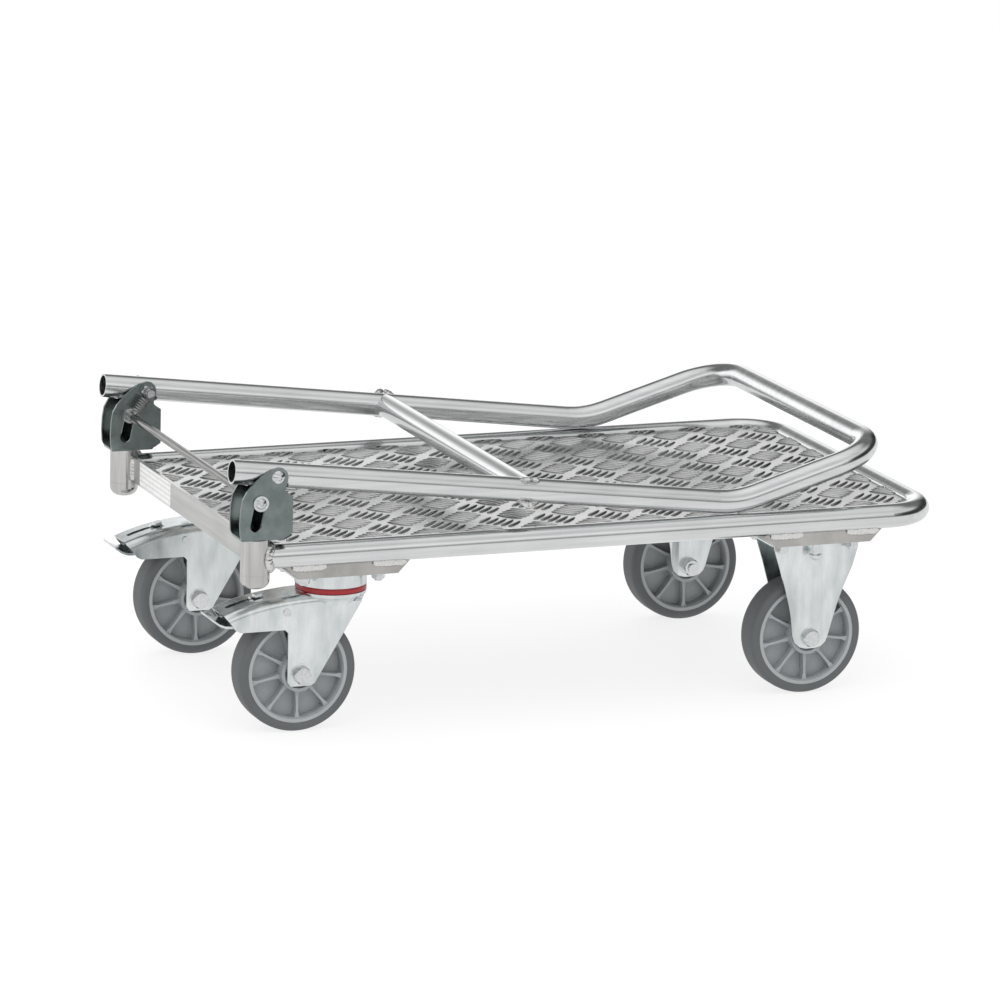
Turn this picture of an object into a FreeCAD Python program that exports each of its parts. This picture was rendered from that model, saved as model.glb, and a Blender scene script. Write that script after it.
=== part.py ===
import FreeCAD
import Part
import math
import os

# Folding platform cart: a tube-framed tread-plate deck on two braked swivel casters and two fixed casters,
# with a bow handle that folds flat over the deck and is locked upright by a sprung bar.
# Millimetres. +X runs from the handle hinges to the fixed casters, +Y is the left side, +Z is up.
# The handle is drawn folded, the lock bar up. Lengths along X are laid out from the deck's layout line and every
# piece is saved moved by ORIGIN_SHIFT, which puts the origin on the ground under the middle of the folded cart.

# ---------------------------------------------------------------- driving dimensions
GAP = 0.1                      # hairline between pieces that are welded or bolted together
ORIGIN_SHIFT = -9.5            # from the layout line to the middle of the folded cart

TUBE_R = 12.5                  # frame and handle tube, 25 mm
TUBE_WALL = 2.0
RAIL_Y = 215.0                 # side rail centre lines
RAIL_Z = 194.5
RAIL_END_X = 392.0             # centre line of the end tube over the fixed casters
RAIL_BEND_R = 50.0

POST_X = -353.5                # corner posts at the hinge end
POST_R = 15.0
POST_WALL = 2.5
POST_TOP_Z = 214.0
POST_LID = 12.0                # threaded lid in the top of each post
POST_CAP_Z = 178.0             # joint between post and domed cap
POST_BOTTOM_Z = 163.0

BAR_FACE_X = -348.3            # outer face of the end crossbar
BAR_WALL = 3.5
BAR_BOTTOM_Z = 180.0
BAR_TOP_Z = 207.0
BAR_LEDGE = 18.0

DECK_TOP_Z = 200.4
DECK_THICK = 3.0

MOUNT_BOTTOM_Z = 169.0
MOUNT_TOP_Z = 182.0
MOUNT_WALL = 3.0
MOUNT_HALF_BOTTOM = 53.5
MOUNT_HALF_TOP = 66.0
MOUNT_HALF_Y = 217.0
SWIVEL_MOUNT_X = -255.0
FIXED_MOUNT_X = 267.0
BEARER_HALF_X = 20.0
BEARER_HALF_Y = 188.0
BEARER_WALL = 2.0

CASTER_Y = 163.0
SWIVEL_PIN_X = -254.0
SWIVEL_AXLE_X = -293.0
FIXED_AXLE_X = 269.0
WHEEL_R = 62.5
AXLE_Z = WHEEL_R
TYRE_HALF = 16.0
PLATE_X = 105.0
PLATE_Y = 85.0
PLATE_TOP_Z = MOUNT_BOTTOM_Z - GAP
PLATE_THICK = 3.0
SWIVEL_HOLES = (40.0, 30.0)
FIXED_HOLES = (40.0, 34.0)
FORK_OUT = 25.5                # outer face of a fork leg from the wheel's middle
FORK_IN = 22.5
RACE_R = 36.8
CROWN_TOP_Z = 145.0
CROWN_BOTTOM_Z = 141.8
KING_PIN_R = 6.0
KING_PIN_HEAD_R = 9.0
AXLE_R = 5.0
SLEEVE_R = 6.0
RUN_FIT = 0.06                 # radial clearance of every turning fit

PIVOT_X = -335.0
PIVOT_Z = 278.0
BRACKET_Y = 213.0
PLATE_IN = 14.0                # inside half-gap of a hinge bracket
SHEET = 3.0
WEB_OUT = 15.6                 # outer face of the bracket's web from the pivot
WEB_THICK = 2.5
PIVOT_BOLT_R = 4.0
LEG_DROP = math.radians(6.83)  # slope of the folded handle's legs
LEG_END = 44.0                 # tube beyond the pivot
BEND_X = 170.7
BEND_Y = 209.0
GRIP_X = 333.4
GRIP_Z = 266.0
BEND_R = 110.0
GRIP_R = 52.0
BRACE_X = -62.0
RIVET_FROM_END = 18.0
RIVET_R = 3.0
RIVET_PROUD = 0.3              # low enough to pass the bracket's web when the handle is upright

SLOT_TOP = (-18.5, -25.3)      # lock bar at the top of its slots, from the pivot
SLOT_BOTTOM = (-23.3, -48.5)
SLOT_R = 5.85
LOCK_SLEEVE_R = 5.5
LOCK_BAR_R = 4.1
LOCK_SCREW_R = 3.0

PEDAL_PIN_X = -309.0
PEDAL_PIN_Z = 128.0


# ---------------------------------------------------------------- helpers
def vec(x, y, z):
    return FreeCAD.Vector(x, y, z)


UP = vec(0, 0, 1)
ALONG_Y = vec(0, 1, 0)


def scaled(vector, factor):
    return vec(vector.x * factor, vector.y * factor, vector.z * factor)


def rod(start, end, radius):
    axis = end.sub(start)
    return Part.makeCylinder(radius, axis.Length, start, axis)


def box(low, high):
    size = high.sub(low)
    return Part.makeBox(size.x, size.y, size.z, low)


def prism_xz(points, y_low, y_high):
    """A prism along Y from (x, z) corners."""
    corners = [vec(x, y_low, z) for x, z in points]
    face = Part.Face(Part.makePolygon(corners + corners[:1]))
    return face.extrude(vec(0, y_high - y_low, 0))


def prism_xy(points, z_low, z_high):
    corners = [vec(x, y, z_low) for x, y in points]
    face = Part.Face(Part.makePolygon(corners + corners[:1]))
    return face.extrude(vec(0, 0, z_high - z_low))


def revolved(points, centre, axis):
    """Turn a closed profile about an axis: (along axis, radius) corners, or (middle, end) pairs for arcs."""
    side = vec(1, 0, 0)

    def place(pair):
        return centre.add(scaled(axis, pair[0])).add(scaled(side, pair[1]))

    edges = []
    last = None
    for item in points + points[:1]:
        if isinstance(item[0], tuple):
            middle, stop = place(item[0]), place(item[1])
            edges.append(Part.Arc(last, middle, stop).toShape())
        else:
            stop = place(item)
            if last is not None:
                edges.append(Part.makeLine(last, stop))
        last = stop
    return Part.Face(Part.Wire(edges)).revolve(centre, axis, 360)


def hexagon(centre, axis, across_flats, height):
    """A hexagonal prism standing on centre and rising along axis."""
    radius = across_flats / math.sqrt(3)
    corners = []
    for step in range(7):
        angle = math.radians(60 * step)
        corners.append(vec(radius * math.cos(angle), radius * math.sin(angle), 0))
    solid = Part.Face(Part.makePolygon(corners)).extrude(vec(0, 0, height))
    cone = Part.makeCone(radius * 1.02, radius * 0.86, height * 0.45, vec(0, 0, height * 0.55), UP)
    body = Part.makeCylinder(radius * 1.02, height * 0.55)
    solid = solid.common(body.fuse(cone))
    solid.Placement = FreeCAD.Placement(centre, FreeCAD.Rotation(UP, axis))
    return solid


def button_head(centre, axis, radius, height, socket):
    """A domed screw head with a hexagon socket, standing on centre."""
    dome_r = (radius * radius + height * height) / (2 * height)
    dome = Part.makeSphere(dome_r, vec(0, 0, height - dome_r))
    head = Part.makeCylinder(radius, height).common(dome)
    key = Part.makeCylinder(socket, height, vec(0, 0, height * 0.45))
    head = head.cut(key)
    head.Placement = FreeCAD.Placement(centre, FreeCAD.Rotation(UP, axis))
    return head


def moved(shape, x=0.0, y=0.0, z=0.0):
    copy = shape.copy()
    copy.translate(vec(x, y, z))
    return copy


def unit(vector):
    return vec(vector.x, vector.y, vector.z).normalize()


def rounded_path(points, radii):
    """A wire through the points with each inner corner rounded to its radius."""
    edges = []
    start = points[0]
    for index in range(1, len(points) - 1):
        corner = points[index]
        before = unit(points[index - 1].sub(corner))
        after = unit(points[index + 1].sub(corner))
        half = before.getAngle(after) / 2
        reach = radii[index - 1] / math.tan(half)
        first = corner.add(scaled(before, reach))
        last = corner.add(scaled(after, reach))
        inward = unit(before.add(after))
        depth = radii[index - 1] / math.sin(half) - radii[index - 1]
        middle = corner.add(inward.multiply(depth))
        edges.append(Part.makeLine(start, first))
        edges.append(Part.Arc(first, middle, last).toShape())
        start = last
    edges.append(Part.makeLine(start, points[-1]))
    return Part.Wire(edges)


def swept(path, radius):
    first = path.OrderedEdges[0]
    start = first.valueAt(first.FirstParameter)
    direction = first.tangentAt(first.FirstParameter)
    circle = Part.Wire([Part.makeCircle(radius, start, direction)])
    return path.makePipeShell([circle], True, False)


def bead(points, radius):
    """A weld bead: a run of overlapping drops."""
    drops = [Part.makeSphere(radius, point) for point in points]
    return drops[0].multiFuse(drops[1:])


def saddle_points(centre, out_axis, side_axis, branch_r, main_r, count):
    """Points round the joint where a branch tube meets a bigger tube side on.

    centre is on the main tube's axis, out_axis runs along the branch, side_axis is across the main tube."""
    run_axis = out_axis.cross(side_axis)
    points = []
    for step in range(count):
        angle = 2 * math.pi * step / count
        side = branch_r * math.cos(angle)
        run = branch_r * math.sin(angle)
        out = math.sqrt(max(main_r * main_r - side * side, 0))
        points.append(centre.add(scaled(out_axis, out)).add(scaled(side_axis, side)).add(scaled(run_axis, run)))
    return points


def save(name, shapes):
    group = shapes if isinstance(shapes, list) else [shapes]
    shape = group[0].copy() if len(group) == 1 else Part.makeCompound(group)
    shape.translate(vec(ORIGIN_SHIFT, 0, 0))
    if not shape.isValid():
        raise ValueError(name + " is not a valid shape")
    shape.exportStep("parts/" + name + ".step")


os.makedirs("parts", exist_ok=True)

# ---------------------------------------------------------------- frame tube, posts, crossbar
rail_path = rounded_path(
    [vec(POST_X, -RAIL_Y, RAIL_Z), vec(RAIL_END_X, -RAIL_Y, RAIL_Z),
     vec(RAIL_END_X, RAIL_Y, RAIL_Z), vec(POST_X, RAIL_Y, RAIL_Z)],
    [RAIL_BEND_R, RAIL_BEND_R])
rail_solid = swept(rail_path, TUBE_R)
post_core = [Part.makeCylinder(POST_R + GAP / 2, 80, vec(POST_X, side * RAIL_Y, 150)) for side in (-1, 1)]
rail_tube = rail_solid.cut(swept(rail_path, TUBE_R - TUBE_WALL)).cut(post_core[0]).cut(post_core[1])
save("rail_tube", rail_tube)

posts = []
caps = []
for side in (-1, 1):
    foot = vec(POST_X, side * RAIL_Y, POST_CAP_Z)
    tall = POST_TOP_Z - POST_CAP_Z
    post = Part.makeCylinder(POST_R, tall, foot)
    post = post.cut(Part.makeCylinder(POST_R - POST_WALL, tall - POST_LID, foot))
    thread_foot = vec(POST_X + 3, side * RAIL_Y, POST_TOP_Z - POST_LID)
    thread = Part.makeCylinder(PIVOT_BOLT_R + GAP, POST_LID + 1, thread_foot)
    posts.append(post.cut(thread))
    dome_r = POST_R
    cap = Part.makeCylinder(dome_r, POST_CAP_Z - GAP - POST_BOTTOM_Z, vec(POST_X, side * RAIL_Y, POST_BOTTOM_Z))
    low_edges = [edge for edge in cap.Edges if abs(edge.CenterOfMass.z - POST_BOTTOM_Z) < 0.5]
    cap = cap.makeFillet(10.0, low_edges)
    spigot = Part.makeCylinder(POST_R - POST_WALL - GAP, 10, vec(POST_X, side * RAIL_Y, POST_CAP_Z - 1))
    caps.append(cap.fuse(spigot))
save("corner_posts", posts)
save("corner_post_caps", caps)

ledge_z = DECK_TOP_Z - DECK_THICK - GAP
bar_back_x = BAR_FACE_X + BAR_WALL
crossbar = prism_xz(
    [(BAR_FACE_X, BAR_BOTTOM_Z), (bar_back_x, BAR_BOTTOM_Z), (bar_back_x, ledge_z - BAR_WALL),
     (bar_back_x + BAR_LEDGE, ledge_z - BAR_WALL), (bar_back_x + BAR_LEDGE, ledge_z), (bar_back_x, ledge_z),
     (bar_back_x, BAR_TOP_Z), (BAR_FACE_X, BAR_TOP_Z)],
    -RAIL_Y, RAIL_Y)
rail_clear = swept(rail_path, TUBE_R + GAP / 2)
crossbar = crossbar.cut(post_core[0]).cut(post_core[1]).cut(rail_clear)
crossbar = max(crossbar.Solids, key=lambda piece: piece.Volume)
save("end_crossbar", crossbar)

# The plate drops inside the tube loop and rests on the crossbar's ledge and the two bearers.
deck_x0 = bar_back_x + GAP
deck_x1 = RAIL_END_X
deck = box(vec(deck_x0, -RAIL_Y, DECK_TOP_Z - DECK_THICK), vec(deck_x1, RAIL_Y, DECK_TOP_Z))
outside = Part.Face(rounded_path(
    [vec(deck_x0 - 60, -RAIL_Y, DECK_TOP_Z - DECK_THICK), vec(RAIL_END_X, -RAIL_Y, DECK_TOP_Z - DECK_THICK),
     vec(RAIL_END_X, RAIL_Y, DECK_TOP_Z - DECK_THICK), vec(deck_x0 - 60, RAIL_Y, DECK_TOP_Z - DECK_THICK),
     vec(deck_x0 - 60, -RAIL_Y, DECK_TOP_Z - DECK_THICK)],
    [RAIL_BEND_R, RAIL_BEND_R, 1.0])).extrude(vec(0, 0, DECK_THICK))
deck = deck.common(outside).cut(rail_clear).cut(post_core[0]).cut(post_core[1])
deck = max(deck.Solids, key=lambda piece: piece.Volume)
save("tread_plate", deck)
deck_face = max(deck.Faces, key=lambda face: face.CenterOfMass.z)
deck_air = deck_face.extrude(vec(0, 0, 12.0))


# ---------------------------------------------------------------- caster mounts, bearers, fasteners
def mount_tray(centre_x):
    """A shallow pressed tray with sloping ends, open at the top, welded under both rails."""
    outer = [(centre_x - MOUNT_HALF_TOP, MOUNT_TOP_Z), (centre_x - MOUNT_HALF_BOTTOM, MOUNT_BOTTOM_Z),
             (centre_x + MOUNT_HALF_BOTTOM, MOUNT_BOTTOM_Z), (centre_x + MOUNT_HALF_TOP, MOUNT_TOP_Z)]
    slope = (MOUNT_HALF_TOP - MOUNT_HALF_BOTTOM) / (MOUNT_TOP_Z - MOUNT_BOTTOM_Z)
    half_floor = MOUNT_HALF_BOTTOM - MOUNT_WALL + slope * MOUNT_WALL
    half_mouth = half_floor + slope * (MOUNT_TOP_Z + 1 - MOUNT_BOTTOM_Z - MOUNT_WALL)
    inner = [(centre_x - half_mouth, MOUNT_TOP_Z + 1), (centre_x - half_floor, MOUNT_BOTTOM_Z + MOUNT_WALL),
             (centre_x + half_floor, MOUNT_BOTTOM_Z + MOUNT_WALL), (centre_x + half_mouth, MOUNT_TOP_Z + 1)]
    tray = prism_xz(outer, -MOUNT_HALF_Y, MOUNT_HALF_Y)
    tray = tray.cut(prism_xz(inner, -MOUNT_HALF_Y + MOUNT_WALL, MOUNT_HALF_Y - MOUNT_WALL))
    return tray.cut(rail_clear)


def corner_points(centre_x, centre_y, holes):
    return [(centre_x + sx * holes[0], centre_y + sy * holes[1]) for sx in (-1, 1) for sy in (-1, 1)]


bolt_spots = []
for side in (-1, 1):
    bolt_spots += corner_points(SWIVEL_PIN_X, side * CASTER_Y, SWIVEL_HOLES)
    bolt_spots += corner_points(FIXED_AXLE_X, side * CASTER_Y, FIXED_HOLES)
stud_spots = [(FIXED_MOUNT_X - 1.5, -202.0), (FIXED_MOUNT_X - 1.5, 202.0)]
bolt_r = 4.0
hole_r = 4.5

swivel_mount = mount_tray(SWIVEL_MOUNT_X)
fixed_mount = mount_tray(FIXED_MOUNT_X)
for x, y in bolt_spots + stud_spots:
    hole = Part.makeCylinder(hole_r, 20, vec(x, y, MOUNT_BOTTOM_Z - 10))
    swivel_mount = swivel_mount.cut(hole)
    fixed_mount = fixed_mount.cut(hole)
for side in (-1, 1):
    pin_foot = vec(SWIVEL_PIN_X, side * CASTER_Y, MOUNT_BOTTOM_Z - 10)
    swivel_mount = swivel_mount.cut(Part.makeCylinder(KING_PIN_HEAD_R + 1.0, 20, pin_foot))
save("caster_mount_swivel", swivel_mount)
save("caster_mount_fixed", fixed_mount)

bearers = []
bearer_low = MOUNT_BOTTOM_Z + MOUNT_WALL + GAP
bearer_high = DECK_TOP_Z - DECK_THICK - GAP
for centre_x in (SWIVEL_MOUNT_X, FIXED_MOUNT_X):
    outer = box(vec(centre_x - BEARER_HALF_X, -BEARER_HALF_Y, bearer_low),
                vec(centre_x + BEARER_HALF_X, BEARER_HALF_Y, bearer_high))
    inner = box(vec(centre_x - BEARER_HALF_X + BEARER_WALL, -BEARER_HALF_Y - 1, bearer_low + BEARER_WALL),
                vec(centre_x + BEARER_HALF_X - BEARER_WALL, BEARER_HALF_Y + 1, bearer_high - BEARER_WALL))
    bearers.append(outer.cut(inner))
save("deck_bearers", bearers)

plate_bottom = PLATE_TOP_Z - PLATE_THICK
bolts = []
nuts = []
for x, y in bolt_spots:
    head = hexagon(vec(x, y, MOUNT_BOTTOM_Z + MOUNT_WALL + GAP), UP, 13.0, 5.3)
    shank = Part.makeCylinder(bolt_r, MOUNT_BOTTOM_Z + MOUNT_WALL + 1 - 157.0, vec(x, y, 157.0))
    bolts.append(head.fuse(shank))
    nut = hexagon(vec(x, y, plate_bottom - GAP), vec(0, 0, -1), 13.0, 6.5)
    nuts.append(nut.cut(Part.makeCylinder(bolt_r + GAP, 20, vec(x, y, 150))))
save("mounting_bolts", bolts)
save("mounting_nuts", nuts)

studs = []
for x, y in stud_spots:
    shank = Part.makeCylinder(bolt_r, MOUNT_BOTTOM_Z + MOUNT_WALL + 5 - 152.5, vec(x, y, 152.5))
    tip = Part.makeSphere(6.6, vec(x, y, 155.2)).common(Part.makeBox(20, 20, 6.6, vec(x - 10, y - 10, 148.6)))
    head = Part.makeCylinder(6.5, 4.5, vec(x, y, MOUNT_BOTTOM_Z + MOUNT_WALL + GAP))
    studs.append(shank.fuse(tip).fuse(head))
save("mount_studs", studs)

# ---------------------------------------------------------------- frame weld beads
beads = []
for side in (-1, 1):
    ring = saddle_points(vec(POST_X, side * RAIL_Y, RAIL_Z), vec(1, 0, 0), ALONG_Y, TUBE_R, POST_R, 16)
    ring = [vec(point.x + 0.8, point.y, point.z) for point in ring if side * point.y > RAIL_Y - 11.5]
    beads.append(bead(ring, 3.4))
    upright = []
    for step in range(7):
        upright.append(vec(BAR_FACE_X - 1.2, side * (RAIL_Y - 14.0), BAR_BOTTOM_Z + 2 + 4 * step))
    beads.append(bead(upright, 3.0))
    for centre_x in (SWIVEL_MOUNT_X, FIXED_MOUNT_X):
        for offset in (-43.0, 42.0):
            run = []
            for step in range(-3, 4):
                run.append(vec(centre_x + offset + 4.5 * step, side * (RAIL_Y + 3.6), MOUNT_TOP_Z - 1.6))
            beads.append(bead(run, 3.3))
trimmed = []
for run in beads:
    for neighbour in (rail_clear, post_core[0], post_core[1], crossbar, swivel_mount, fixed_mount, deck, deck_air):
        run = run.cut(neighbour)
    trimmed.append(max(run.Solids, key=lambda piece: piece.Volume))
save("frame_welds", trimmed)

label = box(vec(BAR_FACE_X - 0.25, 72.0, BAR_BOTTOM_Z + 0.8), vec(BAR_FACE_X - 0.02, 176.0, BAR_TOP_Z - 0.8))
save("rating_label", label)


# ---------------------------------------------------------------- hinge brackets
def pivot_point(offset, y):
    return vec(PIVOT_X + offset[0], y, PIVOT_Z + offset[1])


def bracket(side):
    """A folded channel: two slotted cheeks joined by a web on the deck side and a foot on the post."""
    centre = side * BRACKET_Y
    low = centre - PLATE_IN - SHEET
    high = centre + PLATE_IN + SHEET
    foot_z = POST_TOP_Z + GAP - PIVOT_Z
    outline = [(-37.0, foot_z), (-39.2, foot_z + 6), (-39.9, -46.0), (-39.2, -32.0), (-37.4, -21.0),
               (-33.0, -13.0), (-26.5, -6.0), (-18.0, 2.0), (-9.0, 8.0), (0.0, 10.4), (5.0, 9.2), (9.0, 5.4),
               (10.4, 0.0), (9.6, -5.0), (8.2, -9.0), (7.6, -13.5), (9.0, -16.0), (WEB_OUT, -20.0),
               (WEB_OUT, -57.0), (10.5, -60.0), (7.0, foot_z)]
    points = [(PIVOT_X + x, PIVOT_Z + z) for x, z in outline]
    body = prism_xz(points, low, high)
    web_in = WEB_OUT - WEB_THICK
    room = [(-60.0, foot_z + SHEET), (web_in, foot_z + SHEET), (web_in, 30.0), (-60.0, 30.0)]
    body = body.cut(prism_xz([(PIVOT_X + x, PIVOT_Z + z) for x, z in room], low + SHEET, high - SHEET))
    # The foot is a narrower tab, so the cheeks end just above the post.
    for cheek_low, cheek_high in ((low - 1, low + SHEET - 0.6), (high - SHEET + 0.6, high + 1)):
        trim = [(-60.0, foot_z - 1), (30.0, foot_z - 1), (30.0, foot_z + SHEET), (-60.0, foot_z + SHEET)]
        body = body.cut(prism_xz([(PIVOT_X + x, PIVOT_Z + z) for x, z in trim], cheek_low, cheek_high))
    slot_start, slot_end = pivot_point(SLOT_TOP, low - 1), pivot_point(SLOT_BOTTOM, low - 1)
    width = high - low + 2
    run = slot_end.sub(slot_start)
    across = scaled(unit(vec(run.z, 0, -run.x)), SLOT_R)
    corners = [slot_start.add(across), slot_end.add(across), slot_end.sub(across), slot_start.sub(across)]
    slot = Part.Face(Part.makePolygon(corners + corners[:1])).extrude(vec(0, width, 0))
    for end in (slot_start, slot_end):
        slot = slot.fuse(Part.makeCylinder(SLOT_R, width, end, ALONG_Y))
    body = body.cut(slot)
    body = body.cut(Part.makeCylinder(PIVOT_BOLT_R + GAP, width, pivot_point((0, 0), low - 1), ALONG_Y))
    body = body.cut(Part.makeCylinder(PIVOT_BOLT_R + 0.3, 12, vec(POST_X + 3, side * RAIL_Y, POST_TOP_Z - 3)))
    return body


save("hinge_bracket_left", bracket(1))
save("hinge_bracket_right", bracket(-1))

screws = []
pivot_bolts = []
pivot_nuts = []
for side in (-1, 1):
    seat = vec(POST_X + 3, side * RAIL_Y, POST_TOP_Z + SHEET + 2 * GAP)
    head = button_head(seat, UP, 7.0, 3.6, 2.4)
    shank = rod(vec(POST_X + 3, side * RAIL_Y, POST_TOP_Z - POST_LID + 1), seat.add(vec(0, 0, 0.4)), PIVOT_BOLT_R)
    screws.append(head.fuse(shank))
    outward = vec(0, side, 0)
    outer_face = side * (BRACKET_Y + PLATE_IN + SHEET + GAP)
    inner_face = side * (BRACKET_Y - PLATE_IN - SHEET - GAP)
    head = button_head(vec(PIVOT_X, outer_face, PIVOT_Z), outward, 7.2, 4.4, 2.5)
    shank = rod(vec(PIVOT_X, outer_face + side * 0.5, PIVOT_Z), vec(PIVOT_X, inner_face - side * 14.0, PIVOT_Z),
                PIVOT_BOLT_R)
    pivot_bolts.append(head.fuse(shank))
    nut = hexagon(vec(PIVOT_X, inner_face, PIVOT_Z), vec(0, -side, 0), 13.0, 5.0)
    pivot_nuts.append(nut.cut(rod(vec(PIVOT_X, inner_face + side * 5, PIVOT_Z),
                                  vec(PIVOT_X, inner_face - side * 20, PIVOT_Z), PIVOT_BOLT_R + GAP)))
save("bracket_screws", screws)
save("pivot_bolts", pivot_bolts)
save("pivot_nuts", pivot_nuts)


# ---------------------------------------------------------------- folding handle
def leg_z(x):
    return PIVOT_Z - math.tan(LEG_DROP) * (x - PIVOT_X)


def leg_y(x):
    return BRACKET_Y - (BRACKET_Y - BEND_Y) * (x - PIVOT_X) / (BEND_X - PIVOT_X)


end_x = PIVOT_X - LEG_END * math.cos(LEG_DROP)
half_bow = [vec(end_x, leg_y(end_x), leg_z(end_x)), vec(BEND_X, BEND_Y, leg_z(BEND_X)), vec(GRIP_X, BEND_Y, GRIP_Z)]
bow_points = [vec(point.x, -point.y, point.z) for point in half_bow] + list(reversed(half_bow))
bow_path = rounded_path(bow_points, [BEND_R, GRIP_R, GRIP_R, BEND_R])
bow_solid = swept(bow_path, TUBE_R)
handle = bow_solid.cut(swept(bow_path, TUBE_R - TUBE_WALL))
sleeve_out = 6.0
leg_down = vec(-math.sin(LEG_DROP), 0, -math.cos(LEG_DROP))
for side in (-1, 1):
    handle = handle.cut(rod(vec(PIVOT_X, side * BRACKET_Y - 20, PIVOT_Z), vec(PIVOT_X, side * BRACKET_Y + 20, PIVOT_Z),
                            sleeve_out + GAP / 2))
    rivet_x = end_x + RIVET_FROM_END
    centre = vec(rivet_x, side * leg_y(rivet_x), leg_z(rivet_x))
    below = centre.add(scaled(leg_down, TUBE_R + 5))
    handle = handle.cut(rod(centre, below, RIVET_R + GAP / 2))
save("handle_tube", handle)

sleeves = []
for side in (-1, 1):
    low = vec(PIVOT_X, side * BRACKET_Y - PLATE_IN + 0.35, PIVOT_Z)
    high = vec(PIVOT_X, side * BRACKET_Y + PLATE_IN - 0.35, PIVOT_Z)
    sleeves.append(rod(low, high, sleeve_out).cut(rod(low, high, PIVOT_BOLT_R + RUN_FIT)))
save("pivot_sleeves", sleeves)

rivets = []
for side in (-1, 1):
    rivet_x = end_x + RIVET_FROM_END
    centre = vec(rivet_x, side * leg_y(rivet_x), leg_z(rivet_x))
    surface = centre.add(scaled(leg_down, TUBE_R))
    outer_end = surface.add(scaled(leg_down, RIVET_PROUD))
    inner_end = surface.sub(scaled(leg_down, TUBE_WALL + 3.0))
    bucked = surface.sub(scaled(leg_down, TUBE_WALL + 1.1))
    rivets.append(rod(outer_end, inner_end, RIVET_R).fuse(rod(bucked, inner_end, RIVET_R + 1.2)))
save("handle_rivets", rivets)

brace_y = leg_y(BRACE_X)
brace_z = leg_z(BRACE_X)
brace_ends = (vec(BRACE_X, -brace_y, brace_z), vec(BRACE_X, brace_y, brace_z))
leg_clear = swept(bow_path, TUBE_R + GAP / 2)
brace = rod(*brace_ends, TUBE_R - 0.2).cut(rod(*brace_ends, TUBE_R - TUBE_WALL)).cut(leg_clear)
brace = max(brace.Solids, key=lambda piece: piece.Volume)
save("handle_cross_brace", brace)

handle_beads = []
brace_clear = rod(*brace_ends, TUBE_R - 0.15)
for side in (-1, 1):
    out_axis = vec(0, -side, 0)
    ring = saddle_points(vec(BRACE_X, side * brace_y, brace_z), out_axis, scaled(leg_down, -1.0),
                         TUBE_R - 0.2, TUBE_R, 16)
    ring = [vec(point.x, point.y - side * 0.9, point.z) for point in ring]
    run = bead(ring, 3.2).cut(leg_clear).cut(brace_clear)
    handle_beads.append(max(run.Solids, key=lambda piece: piece.Volume))
save("handle_welds", handle_beads)

# ---------------------------------------------------------------- lock bar and its springs
rest = SLOT_TOP
bar_end = BRACKET_Y - PLATE_IN - SHEET - 0.4 - 1.5 - GAP
bar = rod(pivot_point(rest, -bar_end), pivot_point(rest, bar_end), LOCK_BAR_R)
for side in (-1, 1):
    socket_foot = pivot_point(rest, side * (bar_end - 16))
    bar = bar.cut(rod(socket_foot, pivot_point(rest, side * (bar_end + 1)), LOCK_SCREW_R + GAP))
save("lock_bar", bar)

lock_screws = []
lock_sleeves = []
lock_washers = []
for side in (-1, 1):
    inner = side * (BRACKET_Y - PLATE_IN - SHEET - 0.4)
    outer = side * (BRACKET_Y + PLATE_IN + SHEET + 0.4)
    tube = rod(pivot_point(rest, inner), pivot_point(rest, outer), LOCK_SLEEVE_R)
    bore = rod(pivot_point(rest, inner - side * 4), pivot_point(rest, outer + side * 4), LOCK_SCREW_R + GAP)
    lock_sleeves.append(tube.cut(bore))
    for start, direction in ((inner, -side), (outer, side)):
        near = start + direction * GAP / 2
        disc = rod(pivot_point(rest, near), pivot_point(rest, near + direction * 1.4), 8.0)
        lock_washers.append(disc.cut(bore))
    seat = outer + side * (1.4 + GAP)
    head = button_head(pivot_point(rest, seat), vec(0, side, 0), 5.6, 3.6, 1.9)
    shank = rod(pivot_point(rest, side * (bar_end - 14)), pivot_point(rest, seat + side * 0.4), LOCK_SCREW_R)
    lock_screws.append(head.fuse(shank))
save("lock_bar_screws", lock_screws)
save("lock_bar_sleeves", lock_sleeves)
save("lock_bar_washers", lock_washers)


def lock_spring(side):
    """An extension spring from the pivot bolt's tip to the lock bar: the coil and the hook at each end of it."""
    wire = 0.8
    coil_r = 4.7
    turns = 7
    arm_r = 0.7
    cross_r = 0.62
    shoulder = 3.0
    plane_y = side * (BRACKET_Y - PLATE_IN - SHEET - GAP - 9.6)
    top, bottom = pivot_point((0, 0), plane_y), pivot_point(rest, plane_y)
    line = unit(bottom.sub(top))
    top_eye = PIVOT_BOLT_R + 0.45 + wire
    low_eye = LOCK_BAR_R + 0.45 + wire
    start = top.add(scaled(line, top_eye + shoulder))
    stop = bottom.sub(scaled(line, low_eye + shoulder))
    tall = stop.sub(start).Length
    helix = Part.makeHelix(tall / turns, tall, coil_r)
    section = Part.Wire([Part.makeCircle(wire, vec(coil_r, 0, 0), ALONG_Y)])
    coil = Part.Wire(helix.Edges).makePipeShell([section], True, True)
    coil.Placement = FreeCAD.Placement(start, FreeCAD.Rotation(UP, line))
    outward = unit(coil.Placement.multVec(vec(coil_r, 0, 0)).sub(start))
    pieces = [coil]
    for eye_centre, axis_point, eye_r in ((top, start, top_eye), (bottom, stop, low_eye)):
        toward = unit(axis_point.sub(eye_centre))
        eye_point = eye_centre.add(scaled(toward, eye_r))
        arm_end = axis_point.add(scaled(toward, arm_r))
        cross_end = axis_point.add(scaled(outward, coil_r - wire - GAP))
        eye = Part.makeTorus(eye_r, wire + 0.05, eye_centre, ALONG_Y)
        pieces.append(eye.fuse(rod(eye_point, arm_end, arm_r)).fuse(rod(axis_point, cross_end, cross_r)))
    return pieces


save("lock_spring_left", lock_spring(1))
save("lock_spring_right", lock_spring(-1))


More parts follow.
